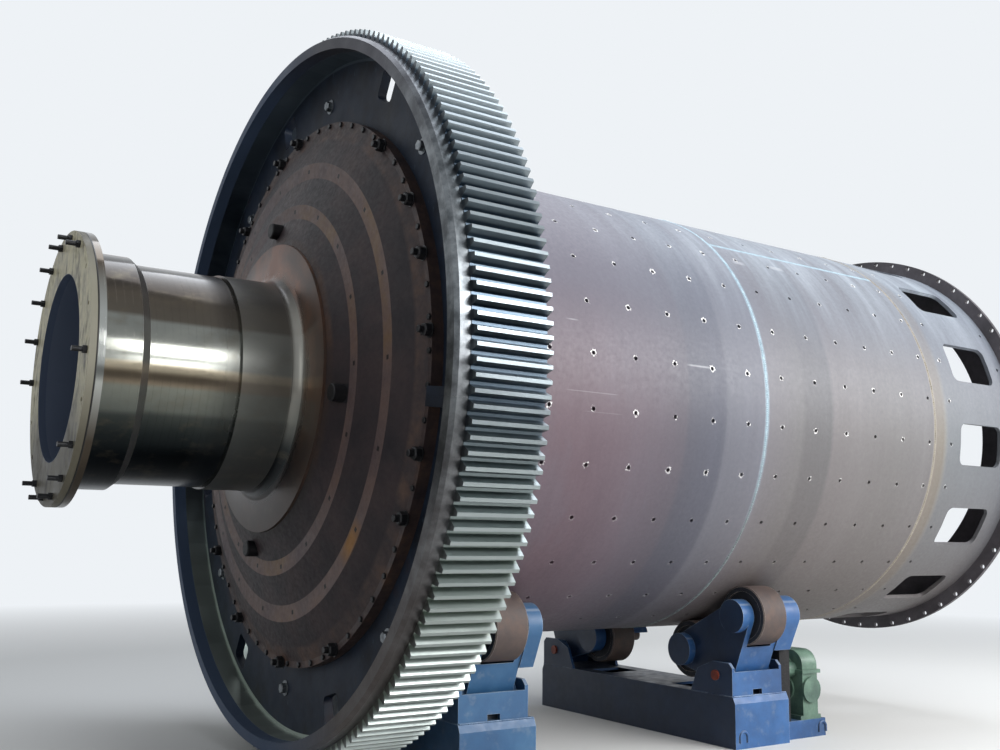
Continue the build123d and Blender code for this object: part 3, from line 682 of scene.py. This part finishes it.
def bendWall(wall, name):
    # Rolls the plane round the mill axis and gives it its thickness inwards.
    bmesh.ops.remove_doubles(wall, verts=wall.verts, dist=1e-5)
    for vert in wall.verts:
        x, angle = vert.co.x, vert.co.y / shellRadius
        vert.co = (x, shellRadius * math.cos(angle), axisZ + shellRadius * math.sin(angle))
    bmesh.ops.remove_doubles(wall, verts=wall.verts, dist=1e-5)
    mesh = bpy.data.meshes.new(name)
    wall.to_mesh(mesh)
    wall.free()
    surface = linkMesh(name + "Surface", mesh, finishes["plate"])
    solid = surface.modifiers.new("wall", "SOLIDIFY")
    solid.thickness = shellSet["wall"]
    solid.offset = -1
    return plainCopy(surface, name)


def arcLength(degrees):
    return math.radians(degrees) * shellRadius


def rectangleLoop(x1, x2, s1, s2, alongX, alongS):
    points = [(x1 + (x2 - x1) * i / alongX, s1) for i in range(alongX)]
    points += [(x2, s1 + (s2 - s1) * i / alongS) for i in range(alongS)]
    points += [(x2 - (x2 - x1) * i / alongX, s2) for i in range(alongX)]
    return points + [(x1, s2 - (s2 - s1) * i / alongS) for i in range(alongS)]


def circleLoop(x0, s0, radius, count):
    # Starts at the lower corner, as rectangleLoop does.
    angles = [math.radians(225 + 360 * i / count) for i in range(count)]
    return [(x0 + radius * math.cos(a), s0 + radius * math.sin(a)) for a in angles]


def halfway(loopA, loopB):
    return [((a[0] + b[0]) / 2, (a[1] + b[1]) / 2) for a, b in zip(loopA, loopB)]


def addHoleCell(wall, x0, x1, x2, row, middle, level):
    # The cell is centred on the row's grid line; the hole may sit a little off it.
    s0 = arcLength(row)
    half = arcLength(shellSet["rowPitch"] / 2)
    divisions = shellSet["rowPitch"] // shellSet["step"]
    edge = rectangleLoop(x1, x2, arcLength(middle) - half, arcLength(middle) + half, divisions, divisions)
    hole = circleLoop(x0, s0, shellSet["holeRadius"], len(edge))
    burr = circleLoop(x0, s0, shellSet["burrRing"], len(edge))
    addLoopStrips(wall, [hole, burr, halfway(burr, edge), edge], (x0, s0), level)


def windowLoop(x1, x2, s1, s2, corner, straightX, straightS):
    # A rounded rectangle that starts half way round its lower corner; each corner is six steps.
    points = []
    corners = (
        ((x1 + corner, s1 + corner), 225), ((x2 - corner, s1 + corner), 270),
        ((x2 - corner, s2 - corner), 0), ((x1 + corner, s2 - corner), 90), ((x1 + corner, s1 + corner), 180),
    )
    for index, ((cx, cs), start) in enumerate(corners):
        count = 3 if index in (0, 4) else 6
        arc = [math.radians(start + 15 * i) for i in range(count + (index != 4))]
        turned = [(cx + corner * math.cos(a), cs + corner * math.sin(a)) for a in arc]
        if index:
            steps = straightX if index in (1, 3) else straightS
            a, b = points[-1], turned[0]
            points += [(a[0] + (b[0] - a[0]) * i / steps, a[1] + (b[1] - a[1]) * i / steps) for i in range(1, steps)]
        points += turned
    return points


def addWindowCell(wall, x1, x2, row):
    s0 = arcLength(row)
    half = arcLength(shellSet["rowPitch"])
    start = courseSpans["discharge"][0] + shellSet["windowStart"]
    width = shellSet["windowWidth"] / 2
    # Both loops have 40 points, so that faces join them one to one
    window = windowLoop(
        start, start + shellSet["windowLength"], s0 - width, s0 + width, shellSet["windowCorner"], 6, 2,
    )
    edge = rectangleLoop(x1, x2, s0 - half, s0 + half, 12, 8)
    addLoopStrips(wall, [window, halfway(window, edge), edge], (shellSet["farOff"],) * 2, 0)


def midPoints(start, places, end):
    return [start] + [(a + b) / 2 for a, b in zip(places, places[1:])] + [end]


def rowAngles():
    # For each row, the angle of its holes and of the middle of its cells.
    turns = [shellSet["rowPitch"] * row for row in range(shellSet["rows"])]
    return [(shellSet["firstRow"] + turn, shellSet["windowTurn"] + turn) for turn in turns]


def makeCourse(name, span, offsets, levels):
    wall = startWall()
    holes = [span[0] + offset for offset in offsets]
    breaks = midPoints(span[0], holes, span[1])
    for x0, x1, x2 in zip(holes, breaks, breaks[1:]):
        for angle, middle in rowAngles():
            addHoleCell(wall, x0, x1, x2, angle, middle, random.choice(levels))
    return bendWall(wall, name)


def makeDischargeCourse():
    wall = startWall()
    start, end = courseSpans["discharge"]
    windowFrom = start + shellSet["windowStart"] - shellSet["windowMargin"]
    windowTo = start + shellSet["windowStart"] + shellSet["windowLength"] + shellSet["windowMargin"]
    for row, (angle, middle) in enumerate(rowAngles()):
        place = start + shellSet["dischargeHoles"]
        addHoleCell(wall, place, start, windowFrom, angle, middle, random.choice(shellSet["dischargeChalk"]))
        if any(abs((angle - hole + 180) % 360 - 180) < 1 for hole in shellSet["endHoleRows"]):
            addHoleCell(wall, start + shellSet["endHoles"], windowTo, end, angle, middle, 0.0)
        else:
            xs = [windowTo + (end - windowTo) * i / 4 for i in range(5)]
            first = middle - shellSet["rowPitch"] / 2
            addPlain(wall, xs, [arcLength(first + shellSet["step"] * i) for i in range(5)])
        if row % 2 == 0:
            addWindowCell(wall, windowFrom, windowTo, middle)
    return bendWall(wall, "dischargeCourse")


course1 = makeCourse("shellCourse1", courseSpans["course1"], shellSet["course1Holes"], shellSet["course1Chalk"])
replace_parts(onBody(course1), *nodesLike("shell_course_1"))
course2 = makeCourse("shellCourse2", courseSpans["course2"], shellSet["course2Holes"], shellSet["course2Chalk"])
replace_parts(onBody(course2), *nodesLike("shell_course_2"))
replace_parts(onBody(makeDischargeCourse()), *nodesLike("discharge_plate"))
print("shell courses made")


# Geometry Nodes: one tree runs a weld bead along a path, another sets pieces round a ring
def startTree(name, inputs):
    # The tree with its named inputs, the identifier that a modifier sets each one by, and their sockets.
    tree = bpy.data.node_groups.new(name, "GeometryNodeTree")
    tree.interface.new_socket("Geometry", in_out="OUTPUT", socket_type="NodeSocketGeometry")
    ids = {}
    for key, (kind, default) in inputs.items():
        item = tree.interface.new_socket(key, in_out="INPUT", socket_type="NodeSocket" + kind)
        ids[key] = item.identifier
        if default is not None:
            item.default_value = default
    return tree, ids, addNode(tree, "NodeGroupInput").outputs


def endTree(tree, shape, finish):
    real = addNode(tree, "GeometryNodeRealizeInstances", {"Geometry": shape}).outputs["Geometry"]
    painted = addNode(tree, "GeometryNodeSetMaterial", {"Geometry": real, "Material": finish})
    addNode(tree, "NodeGroupOutput", [painted.outputs["Geometry"]])


def beadTree():
    # Ripples come from a radius that swings over every three points of the path.
    tree, ids, given = startTree("weldBeadAlongPath", {
        "Path": ("Object", None), "Points": ("Int", 300), "Bead radius": ("Float", 0.006), "Finish": ("Material", None),
    })
    path = addNode(tree, "GeometryNodeObjectInfo", {"Object": given["Path"]}).outputs["Geometry"]
    even = addNode(tree, "GeometryNodeResampleCurve", {"Curve": path, "Count": given["Points"]}).outputs["Curve"]
    index = addNode(tree, "GeometryNodeInputIndex").outputs["Index"]
    phase = product(tree, index, 2 * math.pi / 3)
    swing = addNode(tree, "Math", [phase], operation="SINE").outputs[0]
    wander = addNode(tree, "FunctionNodeRandomValue", {2: 0.82, 3: 1.05, "Seed": 4}).outputs[1]
    scale = addNode(tree, "Math", [swing, 0.14, wander], operation="MULTIPLY_ADD").outputs[0]
    section = addNode(tree, "GeometryNodeCurvePrimitiveCircle", {"Resolution": 8, "Radius": given["Bead radius"]})
    bead = addNode(
        tree, "GeometryNodeCurveToMesh",
        {"Curve": even, "Profile Curve": section.outputs["Curve"], "Scale": scale, "Fill Caps": True},
    )
    endTree(tree, bead.outputs["Mesh"], given["Finish"])
    return tree, ids


def ringTree():
    # Copies of one piece on a circle round the mill axis, each turned to face outwards.
    tree, ids, given = startTree("piecesRoundRing", {
        "Piece": ("Object", None), "Count": ("Int", 12), "Radius": ("Float", 1.0), "Start angle": ("Float", 0.0),
        "Station": ("Float", 0.0), "Axis height": ("Float", 0.0), "Loose turn": ("Float", 0.5),
        "Finish": ("Material", None),
    })
    line = addNode(tree, "GeometryNodeMeshLine", {"Count": given["Count"], "Offset": (0, 0, 0)}).outputs["Mesh"]
    index = addNode(tree, "GeometryNodeInputIndex").outputs["Index"]
    share = addNode(tree, "Math", [index, given["Count"]], operation="DIVIDE").outputs[0]
    angle = addNode(tree, "Math", [share, 2 * math.pi, given["Start angle"]], operation="MULTIPLY_ADD").outputs[0]
    loose = addNode(tree, "FunctionNodeRandomValue", {2: -1.0, 3: 1.0, "Seed": 9}).outputs[1]
    across, upward = (addNode(tree, "Math", [angle], operation=kind).outputs[0] for kind in ("COSINE", "SINE"))
    nearY = product(tree, across, given["Radius"], -1.0)
    rise = [upward, given["Radius"], given["Axis height"]]
    z = addNode(tree, "Math", rise, operation="MULTIPLY_ADD").outputs[0]
    place = addNode(tree, "CombineXYZ", [given["Station"], nearY, z]).outputs["Vector"]
    points = addNode(tree, "GeometryNodeSetPosition", {"Geometry": line, "Position": place}).outputs["Geometry"]
    looseTurn = product(tree, loose, given["Loose turn"])
    outward = addNode(tree, "Math", [looseTurn, angle], operation="SUBTRACT").outputs[0]
    turn = addNode(tree, "CombineXYZ", [outward]).outputs["Vector"]
    piece = addNode(tree, "GeometryNodeObjectInfo", {"Object": given["Piece"]}).outputs["Geometry"]
    copies = addNode(tree, "GeometryNodeInstanceOnPoints", {"Points": points, "Instance": piece, "Rotation": turn})
    endTree(tree, copies.outputs["Instances"], given["Finish"])
    return tree, ids


def grown(name, treeAndIds, values, body="drum"):
    tree, ids = treeAndIds
    carrier = linkMesh(name + "Seed", bpy.data.meshes.new(name + "Seed"), None)
    modifier = carrier.modifiers.new("grow", "NODES")
    modifier.node_group = tree
    for key, value in values.items():
        modifier[ids[key]] = value
    return onBody(plainCopy(carrier, name), body)


beadShape = beadTree()
ringShape = ringTree()
# Sizes in metres, angles from +Y up to +Z; ripple is the distance from one ripple of a bead to the next
weldSet = {
    "shellBead": 0.0125, "shellSink": 0.0095, "ripple": 0.012, "steps": 240,
    "seamBead": 0.0075, "seamSink": 0.0055, "seamInset": 0.012, "seamAngles": {"course2": 132.4, "course1": 318.0},
    "standBead": 0.005, "standRipple": 0.009, "boxWidth": 0.349,
}


def runBead(name, lines, bead, ripple, finish, body="drum"):
    # lines are open runs of points; a run that ends where it began is closed.
    curve = bpy.data.curves.new(name + "Path", "CURVE")
    curve.dimensions = "3D"
    lengths = []
    for points in lines:
        closed = (Vector(points[0]) - Vector(points[-1])).length < 1e-6
        kept = points[:-1] if closed else points
        spline = curve.splines.new("POLY")
        spline.points.add(len(kept) - 1)
        for target, point in zip(spline.points, kept):
            target.co = (*point, 1)
        spline.use_cyclic_u = closed
        lengths.append(sum((Vector(b) - Vector(a)).length for a, b in zip(points, points[1:])))
    path = bpy.data.objects.new(name + "Path", curve)
    bpy.context.scene.collection.objects.link(path)
    count = max(4, int(sum(lengths) / len(lengths) / ripple * 3))
    values = {"Path": path, "Points": count, "Bead radius": bead, "Finish": finishes[finish]}
    result = grown(name, beadShape, values, body)
    bpy.data.objects.remove(path)
    return result


def axisPoint(x, radius, angle):
    return (x, radius * math.cos(angle), axisZ + radius * math.sin(angle))


for number, (station, finish) in enumerate(zip(weldPlaces, ("bead", "groundBead")), 1):
    reach, steps = shellRadius - weldSet["shellSink"], weldSet["steps"]
    circle = [axisPoint(station, reach, 2 * math.pi * i / steps) for i in range(steps)]
    runBead(
        f"shellWeld{number}", [circle + circle[:1]], weldSet["shellBead"], weldSet["ripple"], finish,
    )
# The lengthwise seams where the rolled courses close
seams = []
for course, degrees in weldSet["seamAngles"].items():
    start, end = courseSpans[course]
    reach, a = shellRadius - weldSet["seamSink"], math.radians(degrees)
    seams.append([axisPoint(x, reach, a) for x in (start + weldSet["seamInset"], end - weldSet["seamInset"])])
runBead("shellSeams", seams, weldSet["seamBead"], weldSet["ripple"], "bead")
print("shell welds made")


def hexPiece(name, across, headLength, shank=0.0, shankRadius=0.0, washer=0.0):
    # A bolt head or nut with its seat at x = 0 and its top towards -X; shank pokes out of a nut.
    shape = bmesh.new()
    corner = across / math.sqrt(3)
    seat = -0.004 if washer else 0.0
    tip = seat - headLength
    skins = [[(seat, corner, 6), (seat - headLength * 0.82, corner, 6), (tip, corner * 0.86, 6)]]
    if washer:
        skins.append([(0.0, washer, 24), (-0.004, washer, 24)])
    if shank:
        end = tip - shank
        skins.append([(tip + 0.001, shankRadius, 12), (end + 0.003, shankRadius, 12), (end, shankRadius * 0.8, 12)])
    for skin in skins:
        rings = [
            [
                shape.verts.new((x, r * math.cos(2 * math.pi * i / n), r * math.sin(2 * math.pi * i / n)))
                for i in range(n)
            ]
            for x, r, n in skin
        ]
        for a, b in zip(rings, rings[1:]):
            for i in range(len(a)):
                k = (i + 1) % len(a)
                shape.faces.new((a[i], a[k], b[k], b[i]))
        shape.faces.new(rings[0][::-1])
        shape.faces.new(rings[-1])
    bmesh.ops.recalc_face_normals(shape, faces=shape.faces)
    mesh = bpy.data.meshes.new(name)
    shape.to_mesh(mesh)
    shape.free()
    return linkMesh(name, mesh, None)


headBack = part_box("end_head")[1][0]
# Angles run from -Y up to +Z
boltSet = {
    "flangeCircle": 1.487, "flangeCount": 60, "flangePhase": 0.5, "flangeFace": headBack - 0.06,
    "bigAngles": (104.9, 94.6, 49.6, 31.1, 18.7, 4.1, -17.3, -29.2, -66.1, -92.6, -119.6, -142.6, 156.4, 129.4),
    "webCircle": 1.645, "webCount": 8, "webPhase": 39.6, "webFace": headBack,
    # Across the flats and length of the head, length and radius of the shank, radius of the washer
    "small": (0.026, 0.011), "big": (0.055, 0.036, 0.024, 0.017, 0.036), "web": (0.05, 0.026, 0.0, 0.0, 0.042),
}
smallBolt, bigBolt, webBolt = (hexPiece(kind + "BoltPattern", *boltSet[kind]) for kind in ("small", "big", "web"))


def ringOfBolts(name, pattern, ring, finish):
    values = {
        "Piece": pattern, "Count": boltSet[ring + "Count"], "Radius": boltSet[ring + "Circle"],
        "Start angle": math.radians(boltSet[ring + "Phase"]), "Station": boltSet[ring + "Face"],
        "Axis height": axisZ, "Loose turn": 1.0, "Finish": finishes[finish],
    }
    return grown(name, ringShape, values)


ringOfBolts("headFlangeBolts", smallBolt, "flange", "bolt")
ringOfBolts("gearWebBolts", webBolt, "web", "brightBolt")


def scattered(name, pattern, radius, angles, station, finish):
    # The same piece at angles that follow no rule, joined into one mesh.
    shape = bmesh.new()
    for angle in angles:
        first = len(shape.verts)
        shape.from_mesh(pattern.data)
        a = math.radians(angle)
        turn = Matrix.Rotation(-a + random.uniform(-0.5, 0.5), 4, "X")
        place = Matrix.Translation(axisPoint(station, radius, math.pi - a)) @ turn
        bmesh.ops.transform(shape, matrix=place, verts=shape.verts[first:])
    mesh = bpy.data.meshes.new(name)
    shape.to_mesh(mesh)
    shape.free()
    return onBody(linkMesh(name, mesh, finishes[finish]))


scattered(
    "headAssemblyBolts", bigBolt, boltSet["flangeCircle"], boltSet["bigAngles"], boltSet["flangeFace"], "bolt",
)
for pattern in (smallBolt, bigBolt, webBolt):
    bpy.data.objects.remove(pattern)
print("bolts made")

# Beads where the end boxes stand on the base beams
for stand in ("stand_1", "stand_2"):
    boxLow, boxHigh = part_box(stand + "_end_boxes")
    beamLow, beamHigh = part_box(stand + "_beam")
    side, base = beamLow[0] + 0.002, boxLow[2]
    lines = []
    for end, inward in ((boxLow[1], 1), (boxHigh[1], -1)):
        edge = end - inward * 0.001
        lines.append([(side, end, base), (side, end + inward * weldSet["boxWidth"], base)])
        lines.append([(side + 0.004, edge, base), (beamHigh[0] - 0.006, edge, base)])
    runBead(
        stand + "Welds", lines, weldSet["standBead"], weldSet["standRipple"],
        "dustyBlue" if stand == "stand_1" else "blue", "stands",
    )
print("stand welds made")

# Floor, light and background
stageSet = {
    "floorHex": "dcdcda", "floorReach": 40.0, "floorFade": (6.0, 14.0), "skyHex": "eef2f6", "skyStrength": 0.36,
    "backStrength": 1.0,
}


def makeFloor():
    reach = stageSet["floorReach"]
    mesh = bpy.data.meshes.new("paleFloor")
    mesh.from_pydata(
        [(-reach, -reach, 0), (reach, -reach, 0), (reach, reach, 0), (-reach, reach, 0)], [], [(0, 1, 2, 3)],
    )
    material, tree, skin, coords = startMaterial("paleStudioFloor")
    skin.inputs["Base Color"].default_value = linearColour(stageSet["floorHex"])
    skin.inputs["Roughness"].default_value = 0.9
    away = addNode(tree, "VectorMath", [coords], operation="LENGTH").outputs["Value"]
    path = addNode(tree, "LightPath").outputs
    seen = product(tree, path["Is Camera Ray"], (away, *stageSet["floorFade"]))
    glow = addNode(tree, "Emission", {"Color": stageSet["skyHex"], "Strength": 1.0}).outputs["Emission"]
    both = addNode(tree, "MixShader", [seen, skin.outputs["BSDF"], glow]).outputs["Shader"]
    tree.links.new(both, tree.nodes["Material Output"].inputs["Surface"])
    linkMesh("paleFloor", mesh, material)


def makeWorld():
    world = bpy.data.worlds.new("studioWorld")
    bpy.context.scene.world = world
    world.use_nodes = True
    tree = world.node_tree
    tree.nodes.clear()
    path = addNode(tree, "LightPath").outputs
    direct = path["Is Camera Ray"]
    for kind in ("Is Glossy Ray", "Is Transmission Ray"):
        direct = addNode(tree, "Math", [direct, path[kind]], operation="MAXIMUM").outputs[0]
    light, back = (
        addNode(tree, "Background", {"Color": stageSet["skyHex"], "Strength": stageSet[key]}).outputs[0]
        for key in ("skyStrength", "backStrength")
    )
    both = addNode(tree, "MixShader", [direct, light, back]).outputs["Shader"]
    addNode(tree, "OutputWorld", {"Surface": both})


# The key is long and low so that it draws one bright line along the trunnion; the strip draws the thin line below.
lamps = {
    "keyBox": {"place": (4.5, -7.5, 4.87), "aim": (3.0, 0, 1.9), "size": (11.0, 1.6), "power": 970, "hex": "ffffff"},
    "stripBox": {"place": (4.5, -7.5, 3.06), "aim": (3.0, 0, 1.9), "size": (11.0, 0.9), "power": 240, "hex": "ffffff"},
    "topBox": {"place": (1.5, 0.8, 9.0), "aim": (0.8, 0, 2.0), "size": (9.0, 5.0), "power": 480, "hex": "f0f6ff"},
    "fillBox": {"place": (-9.0, -5.0, 4.0), "aim": (-1.5, 0, 1.8), "size": (4.0, 4.0), "power": 60, "hex": "ffffff"},
}


def makeLamps():
    for name, values in lamps.items():
        data = bpy.data.lights.new(name, "AREA")
        data.shape = "RECTANGLE"
        data.size, data.size_y = values["size"]
        data.energy = values["power"]
        data.color = linearColour(values["hex"])[:3]
        lamp = bpy.data.objects.new(name, data)
        bpy.context.scene.collection.objects.link(lamp)
        lamp.location = values["place"]
        lamp.rotation_euler = (Vector(values["aim"]) - Vector(values["place"])).to_track_quat("-Z", "Y").to_euler()


makeFloor()
makeWorld()
makeLamps()
bpy.context.scene.view_settings.view_transform = "Standard"
print("stage and lamps set")
